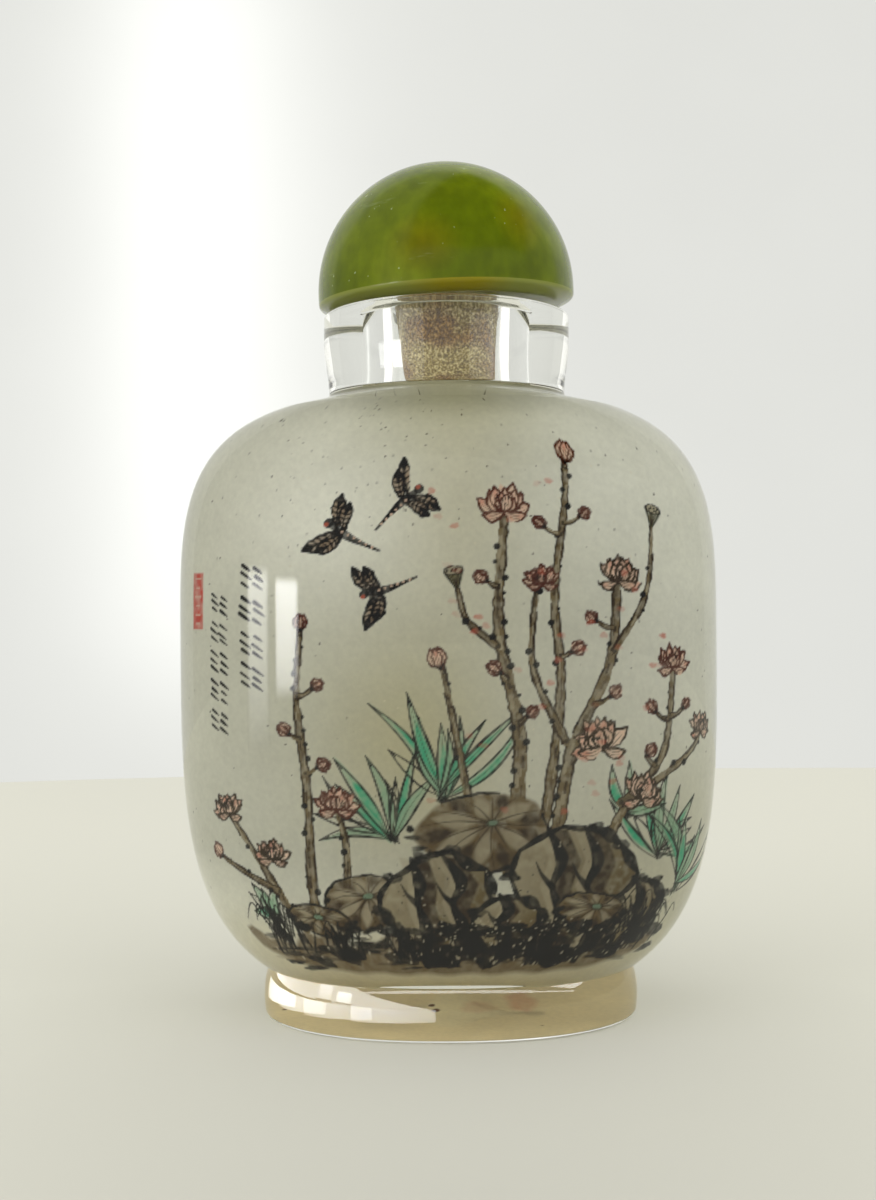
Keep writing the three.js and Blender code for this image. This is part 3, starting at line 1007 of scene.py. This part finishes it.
def mouth_film(material):
    """The frosting over the cavity's roof and up the bore as far as the cork."""
    turns = np.linspace(0, 2 * math.pi, 97)
    roof = ring(*cavity_section(*cavity_profile(2)[0], FILM_OFFSET), turns)
    mouth_z = CAVITY_TOP_Z + BORE_BEVEL
    mouth = ring(mouth_z, BORE_RADIUS + FILM_OFFSET, BORE_RADIUS + FILM_OFFSET, 2, turns)
    rows = [roof + (mouth - roof) * share for share in np.linspace(0, 1, 6)]
    for z in np.linspace(mouth_z, CORK_TIP_Z - 0.2 * MM, 4)[1:]:
        rows.append(mouth + np.array([0, 0, z - mouth_z]))
    rows = np.array(rows)
    rng = np.random.default_rng(SEED)
    tone = linear(MOUTH_TONE) * (0.9 + 0.2 * rng.random((*rows.shape[:2], 1)))
    film_panel("film_mouth", rows, tone, material)


def foot_film(material):
    """The underside of the foot: a painted reflection in tan, with a few specks and pink smears."""
    half_width = foot_half_width(0) - FOOT_EDGE
    half_depth = half_width - FOOT_NARROWER
    across = np.linspace(-1, 1, 261)
    along = np.linspace(-0.995, 0.995, 181)
    film = Film(across * half_width / MM, along * half_depth / MM, np.random.default_rng(SEED))
    underside_picture(film)
    rows = np.zeros((len(along), len(across), 3))
    rows[..., 0] = across * half_width * ((1 - np.abs(along) ** SQUARENESS) ** (1 / SQUARENESS))[:, None]
    rows[..., 1] = (along * half_depth)[:, None]
    rows[..., 2] = FILM_OFFSET
    film_panel("film_underside", rows, film.colour, material)


def inner_film():
    material = frosted_paint()
    painted_wall("front", -1, FRONT_PITCH, 2, front_picture, material)
    painted_wall("back", 1, BACK_PITCH, 1, back_picture, material)
    mouth_film(material)
    foot_film(material)


# ---------------------------------------------------------------- stopper


def stopper_place():
    lean = Matrix.Rotation(CAP_LEAN_FORWARD, 4, "X") @ Matrix.Rotation(-CAP_LEAN_LEFT, 4, "Y")
    return Matrix.Translation((0, 0, CAP_CENTRE_Z)) @ lean


def stopper_piece(name, profile, around, material, node):
    piece = add_mesh(name, *turned(profile, around), sharp_degrees=40)
    piece.data.transform(stopper_place())
    piece.data.materials.append(material)
    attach(piece, "root")
    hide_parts(node)
    return piece


def stone_cap():
    dome = [[CAP_RADIUS * math.cos(t), CAP_RADIUS * math.sin(t)] for t in np.linspace(0, math.pi / 2, 61)]
    dome[-1][0] = 0
    bevel = [[CAP_BASE_RADIUS, -CAP_BASE_DROP], [CAP_RADIUS, -CAP_EDGE_DROP], dome[0]]
    base = rounded([[SOCKET_RADIUS, -CAP_BASE_DROP], *bevel], CAP_ROUNDING)
    socket_top = SOCKET_DEPTH - CAP_BASE_DROP
    profile = [[0, socket_top], [SOCKET_RADIUS, socket_top], *base, *dome[1:]]
    stopper_piece("stopper_cap_stone", profile, 160, green_stone(), "stopper_cap")


def cork_plug():
    tip = CORK_TIP_Z - CAP_CENTRE_Z
    top = SOCKET_DEPTH - CAP_BASE_DROP - CORK_SEAT_GAP
    outline = [
        [0, tip],
        [CORK_TIP_RADIUS - CORK_TIP_EDGE, tip],
        [CORK_TIP_RADIUS, tip + CORK_TIP_EDGE],
        [CORK_MOUTH_RADIUS, RIM_Z - CAP_CENTRE_Z],
        [CORK_TOP_RADIUS, -CAP_BASE_DROP],
        [CORK_TOP_RADIUS, top],
        [0, top],
    ]
    profile = even_steps(outline, 0.12 * MM)
    plug = stopper_piece("stopper_cork_plug", profile, 180, cork_bark(), "stopper_cork")
    roughen(plug, CORK_PIT_DEPTH)


def roughen(piece, depth):
    """Pits a turned piece's side, each point moved in by up to the depth."""
    mesh = piece.data
    places = np.empty(len(mesh.vertices) * 3, np.float32)
    mesh.vertices.foreach_get("co", places)
    places = places.reshape(-1, 3)
    pits = np.random.default_rng(SEED).random((len(places), 1)) ** 2
    radius = np.maximum(np.linalg.norm(places[:, :2], axis=1, keepdims=True), depth)
    places[:, :2] *= 1 - depth * pits / radius
    mesh.vertices.foreach_set("co", places.ravel())
    mesh.update()


# ---------------------------------------------------------------- materials


def new_material(name):
    material = bpy.data.materials.new(name)
    material.use_nodes = True
    tree = material.node_tree
    return material, tree, tree.nodes["Principled BSDF"]


def feed(tree, node, inputs):
    """Gives a node's inputs, by name or number, plain values or the outputs of other nodes."""
    for key, value in inputs.items():
        socket = next(s for i, s in enumerate(node.inputs) if s.enabled and key in (s.name, i))
        if isinstance(value, bpy.types.NodeSocket):
            tree.links.new(value, socket)
        else:
            socket.default_value = value


def add_node(tree, kind, output, inputs=None, **settings):
    """Adds a shader node and returns the named output of it."""
    node = tree.nodes.new("ShaderNode" + kind)
    for name, value in settings.items():
        setattr(node, name, value)
    feed(tree, node, inputs or {})
    return next(s for s in node.outputs if s.enabled and s.name == output)


def noise(tree, scale, detail, stretch=(1, 1, 1)):
    """A noise value over the object's own coordinates."""
    place = add_node(tree, "TexCoord", "Object")
    place = add_node(tree, "Mapping", "Vector", {"Vector": place, "Scale": stretch})
    return add_node(tree, "TexNoise", "Fac", {"Vector": place, "Scale": scale, "Detail": detail})


def spot(tree, centre, reach, sharpness):
    """One at a place on the object, falling to none at the reach, in metres along each axis."""
    place = add_node(tree, "TexCoord", "Object")
    around = {"Vector": place, "Location": centre, "Scale": reach}
    place = add_node(tree, "Mapping", "Vector", around, vector_type="TEXTURE")
    ball = add_node(tree, "TexGradient", "Fac", {"Vector": place}, gradient_type="SPHERICAL")
    return ramp(tree, ball, [(0.02, (0, 0, 0)), (sharpness, (1, 1, 1))])


def ramp(tree, value, stops):
    """Colours along a value, from (position, (r, g, b)) stops."""
    colour = add_node(tree, "ValToRGB", "Color", {"Fac": value})
    elements = colour.node.color_ramp.elements
    while len(elements) < len(stops):
        elements.new(0.5)
    for element, (position, stop) in zip(elements, stops):
        element.position = position
        element.color = (*stop, 1)
    return colour


def noise_ramp(tree, scale, detail, stops, stretch=(1, 1, 1)):
    return ramp(tree, noise(tree, scale, detail, stretch), stops)


def mixed(tree, factor, first, second, blend="MIX"):
    inputs = {"Factor": factor, "A": first, "B": second}
    return add_node(tree, "Mix", "Result", inputs, data_type="RGBA", blend_type=blend)


def pass_light(tree, surface, share, tint=(1, 1, 1, 1)):
    """Finishes a material whose shadow lets a share of the light straight through, tinted."""
    shadow = add_node(tree, "LightPath", "Is Shadow Ray")
    share = add_node(tree, "Math", "Value", {0: shadow, 1: share}, operation="MULTIPLY")
    clear = add_node(tree, "BsdfTransparent", "BSDF", {"Color": tint})
    both = add_node(tree, "MixShader", "Shader", {"Fac": share, 1: surface, 2: clear})
    feed(tree, tree.nodes["Material Output"], {"Surface": both})


def clear_glass():
    material, tree, shader = new_material("clear_glass")
    shader.inputs["Base Color"].default_value = (0.96, 0.965, 0.94, 1)
    shader.inputs["Transmission Weight"].default_value = 1
    shader.inputs["Roughness"].default_value = 0.02
    shader.inputs["IOR"].default_value = 1.5
    # Light reaches the film through the glass without being bent.
    pass_light(tree, shader.outputs["BSDF"], 1, (0.93, 0.94, 0.91, 1))
    return material


def frosted_paint():
    material, tree, shader = new_material("frosted_paint")
    paint = add_node(tree, "VertexColor", "Color", layer_name="paint")
    frost = noise_ramp(tree, 2500, 3, [(0.3, (0.93, 0.93, 0.93)), (0.7, (1, 1, 1))])
    colour = mixed(tree, 1.0, paint, frost, "MULTIPLY")
    feed(tree, shader, {"Base Color": colour, "Roughness": 0.9, "Specular IOR Level": 0})
    through = add_node(tree, "BsdfTranslucent", "BSDF", {"Color": colour})
    glow = add_node(tree, "MixShader", "Shader", {"Fac": 0.4, 1: shader.outputs["BSDF"], 2: through})
    # The frosting lets half the light on to the table.
    pass_light(tree, glow, 0.5)
    return material


def green_stone():
    material, tree, shader = new_material("green_stone")
    greens = [(0.35, (0.074, 0.100, 0.0005)), (0.55, (0.104, 0.136, 0.001)), (0.75, (0.145, 0.175, 0.008))]
    colour = noise_ramp(tree, 130, 6, greens, (1, 1, 1.3))
    # A darker patch painted where the stone mirrors the dark shade over the camera, a painted reflection,
    # and the yellow stains beside it.
    for centre, reach, sharpness, tone in (
        ((2, -9, 63.9), (5.4, 6, 4.6), 0.3, (0.08, 0.11, 0.0004, 1)),
        ((-1.8, -10.4, 63.6), (3.4, 4, 3), 1, (0.125, 0.118, 0.001, 1)),
        ((5.8, -8, 66), (2.6, 3, 3.4), 1, (0.13, 0.126, 0.001, 1)),
    ):
        stain = spot(tree, Vector(centre) * MM, Vector(reach) * MM, sharpness)
        colour = mixed(tree, stain, colour, tone)
    feather = noise_ramp(tree, 420, 6, [(0.66, (0, 0, 0)), (0.8, (0.5, 0.5, 0.5))], (0.5, 0.5, 2.2))
    colour = mixed(tree, feather, colour, (0.3, 0.36, 0.16, 1))
    mottle = noise_ramp(tree, 900, 5, [(0.35, (0.86, 0.86, 0.8)), (0.65, (1.1, 1.1, 1.2))], (1, 1, 0.6))
    colour = mixed(tree, 1.0, colour, mottle, "MULTIPLY")
    grit = noise_ramp(tree, 2000, 2, [(0.73, (0, 0, 0)), (0.78, (0.7, 0.7, 0.7))])
    colour = mixed(tree, grit, colour, (0.34, 0.4, 0.2, 1))
    # The bevelled underside shows a little paler, and browner in the middle.
    normal = add_node(tree, "TexCoord", "Normal")
    upward = add_node(tree, "SeparateXYZ", "Z", {"Vector": normal})
    below = add_node(tree, "Math", "Value", {0: upward, 1: -0.15}, operation="LESS_THAN")
    middle = spot(tree, Vector((1, -10.5, 60.5)) * MM, Vector((5, 4, 4)) * MM, 0.7)
    bevel = mixed(tree, middle, (0.17, 0.19, 0.03, 1), (0.2, 0.17, 0.001, 1))
    feed(tree, shader, {
        "Base Color": mixed(tree, below, colour, bevel),
        "Specular IOR Level": 0.3,
        "Roughness": 0.18,
        "Subsurface Weight": 0.3,
        "Subsurface Radius": (0.7, 1, 0.2),
        "Subsurface Scale": 1.5 * MM,
    })
    return material


def cork_bark():
    material, tree, shader = new_material("cork_bark")
    browns = [(0.36, (0.12, 0.078, 0.016)), (0.5, (0.26, 0.19, 0.05)), (0.66, (0.62, 0.52, 0.26))]
    grain = noise_ramp(tree, 5600, 5, browns, (1, 1, 0.8))
    patch = noise_ramp(tree, 380, 3, [(0.46, (1, 1, 1)), (0.64, (0.62, 0.42, 0.2))])
    height = noise(tree, 1800, 5)
    bump = add_node(tree, "Bump", "Normal", {"Strength": 0.5, "Distance": 0.1 * MM, "Height": height})
    colour = mixed(tree, 1.0, grain, patch, "MULTIPLY")
    feed(tree, shader, {"Base Color": colour, "Roughness": 0.9, "Normal": bump})
    return material


def pale_surface(name, colour, painted_front_shadow=False):
    material, tree, shader = new_material(name)
    darker = tuple(c * 0.985 for c in colour)
    shade = noise_ramp(tree, 6, 2, [(0.3, darker), (0.7, colour)])
    if painted_front_shadow:
        # Painted shadow: the table darkened in front of the bottle, as by the bottle's shadow.
        near = spot(tree, (0, -0.045, 0), (0.075, 0.06, 1), 1)
        shade = mixed(tree, near, shade, (*(c * 0.8 for c in colour), 1))
    feed(tree, shader, {"Base Color": shade, "Roughness": 0.9, "Specular IOR Level": 0})
    return material


# ---------------------------------------------------------------- setting


def flat_sheet(name, corners, material):
    sheet = add_mesh(name, corners, [list(range(len(corners)))])
    sheet.data.materials.append(material)
    return sheet


def table_and_wall():
    turns = np.linspace(0, 2 * math.pi, 128, endpoint=False)
    centre = np.array([0.05, TABLE_BACK_Y - TABLE_RADIUS, -0.02 * MM])
    edge = ring(0, TABLE_RADIUS, TABLE_RADIUS, 2, turns) + centre
    flat_sheet("table", edge, pale_surface("table_top", (0.6, 0.594, 0.528), painted_front_shadow=True))
    corners = [(-3, WALL_Y, -1), (3, WALL_Y, -1), (3, WALL_Y, 3), (-3, WALL_Y, 3)]
    flat_sheet("wall", corners, pale_surface("wall_paint", (0.575, 0.582, 0.57)))


def dark_shade_sheet():
    """Painted shade: a dark sheet over the camera, which the polished cap mirrors. It takes no light from
    the bottle.
    """
    outline = [(-0.5, -0.65), (-0.29, -0.39), (-0.04, 0), (0.06, 0.21), (0.34, 0.13), (0.88, -0.21),
               (0.26, -0.76)]
    corners = [(x, y, SHADE_SHEET_Z) for x, y in outline]
    only_mirrored(flat_sheet("dark_shade_sheet", corners, pale_surface("mirrored_shade_sheet", (0.02, 0.02, 0.02))))


def window_glow(name, centre, width, height, strength, fade):
    """A soft-edged bright pane facing the bottle, which only the polished surfaces mirror. The
    higher its fade, the dimmer its lower part."""
    across, up = np.meshgrid(np.linspace(-1, 1, 25), np.linspace(-1, 1, 33))
    aim = (Vector((0, 0, centre[2])) - Vector(centre)).to_track_quat("Z", "Y").to_matrix()
    flat = np.stack([across * width / 2, up * height / 2, np.zeros(across.shape)], axis=-1)
    edge = np.clip((1 - np.abs(across)) / 0.3, 0, 1) * np.clip((1 - np.abs(up)) / 0.25, 0, 1)
    shine = edge * np.clip(0.5 + 0.5 * up, 0, 1) ** fade * strength
    pane = add_mesh(name, *skin(flat @ np.array(aim).T + np.array(centre), closed=False))
    colour_points(pane, "shine", shine.reshape(-1, 1))
    material, tree, shader = new_material(name)
    glow = add_node(tree, "VertexColor", "Color", layer_name="shine")
    dark = {"Base Color": (0, 0, 0, 1), "Specular IOR Level": 0}
    feed(tree, shader, {**dark, "Emission Strength": 1, "Emission Color": glow})
    pane.data.materials.append(material)
    only_mirrored(pane)


def only_mirrored(piece):
    piece.visible_camera = False
    piece.visible_diffuse = False
    piece.visible_transmission = False
    piece.visible_shadow = False


def area_light(name, centre, target, width, height, power):
    data = bpy.data.lights.new(name, "AREA")
    data.shape = "RECTANGLE"
    data.size = width
    data.size_y = height
    data.energy = power
    light = bpy.data.objects.new(name, data)
    bpy.context.scene.collection.objects.link(light)
    light.location = centre
    aim = Vector(target) - Vector(centre)
    light.rotation_euler = aim.to_track_quat("-Z", "Y").to_euler()
    return light


def room_light():
    """Light from all round. The room in front, which only the polished surfaces mirror, is darker."""
    world = bpy.data.worlds.new("soft_room")
    world.use_nodes = True
    tree = world.node_tree
    glossy = add_node(tree, "LightPath", "Is Glossy Ray")
    through = add_node(tree, "LightPath", "Is Transmission Ray")
    shares = {0: glossy, 1: through}
    mirrored = add_node(tree, "Math", "Value", shares, operation="SUBTRACT", use_clamp=True)
    levels = {"Value": mirrored, "To Min": ROOM_LIGHT, "To Max": MIRRORED_LIGHT}
    strength = add_node(tree, "MapRange", "Result", levels)
    feed(tree, tree.nodes["Background"], {"Color": (1, 0.995, 0.965, 1), "Strength": strength})
    bpy.context.scene.world = world


def room_walls():
    """Broad soft lights at both sides, and a bright stripe down the wall behind at the left."""
    waist = (0, 0, WAIST_Z)
    area_light("window_wall", (-0.9, -0.5, 0.4), waist, 0.9, 0.9, 4.0).visible_glossy = False
    area_light("right_wall", (0.9, -0.5, 0.5), waist, 0.9, 0.9, 3.0).visible_glossy = False
    wash = area_light("wall_wash", (-0.29, 1.45, 0.4), (-0.28, WALL_Y, 0.4), 0.12, 0.9, 0.55)
    wash.visible_glossy = False
    wash.visible_camera = False


def foot_lights():
    """Lights that only the flare of the foot mirrors."""
    # They face down: a sill at the left, a glint at the right and a thin line along the seam.
    for name, place, width, depth, power in (
        ("window_sill", (-0.163, -0.05, 0.014), 0.274, 0.45, 3.6),
        ("glint", (0.036, -0.024, 0.014), 0.016, 0.014, 0.0065),
        ("seam_line", (0.01, -0.037, 0.014), 0.09, 0.003, 0.006),
    ):
        only_glossy(area_light(name, place, (place[0], place[1], -1), width, depth, power))
    # Low panes round the foot's left, each shining in a narrow beam at the part that mirrors it.
    half_width = FOOT_HALF_WIDTH + LOW_PANE_GAP
    half_depth = half_width - FOOT_NARROWER
    for i, turn in enumerate(np.linspace(3.3, 4.4, 4)):
        place = np.array([half_width * math.cos(turn), half_depth * math.sin(turn), LOW_PANE_Z])
        beam = 1.27 * turn - 1.3
        target = place - np.array([math.cos(beam), math.sin(beam), 0])
        pane = area_light(f"low_pane_{i}", place, target, 11 * MM, 3 * MM, 0.0002)
        pane.data.spread = math.radians(80)
        only_glossy(pane)


def only_glossy(light):
    light.visible_diffuse = False
    light.visible_transmission = False


def lights():
    room_light()
    window_glow("window_near_pane", (-0.135, -0.133, 0.0315), 0.034, 0.042, 14, 0.4)
    window_glow("window_far_pane", (-0.135, -0.083, 0.024), 0.032, 0.06, 9, 1.2)
    room_walls()
    foot_lights()


def camera():
    data = bpy.data.cameras.new("camera")
    data.lens = CAMERA_LENS
    data.sensor_width = 36
    data.clip_start = 0.01
    eye = bpy.data.objects.new("camera", data)
    bpy.context.scene.collection.objects.link(eye)
    eye.location = (-CAMERA_LEFT, -CAMERA_DISTANCE, CAMERA_HEIGHT)
    eye.rotation_euler = (math.pi / 2, CAMERA_ROLL, 0)
    bpy.context.scene.camera = eye


glass_flask()
inner_film()
stone_cap()
cork_plug()
table_and_wall()
dark_shade_sheet()
lights()
camera()
bpy.context.scene.view_settings.view_transform = "Standard"
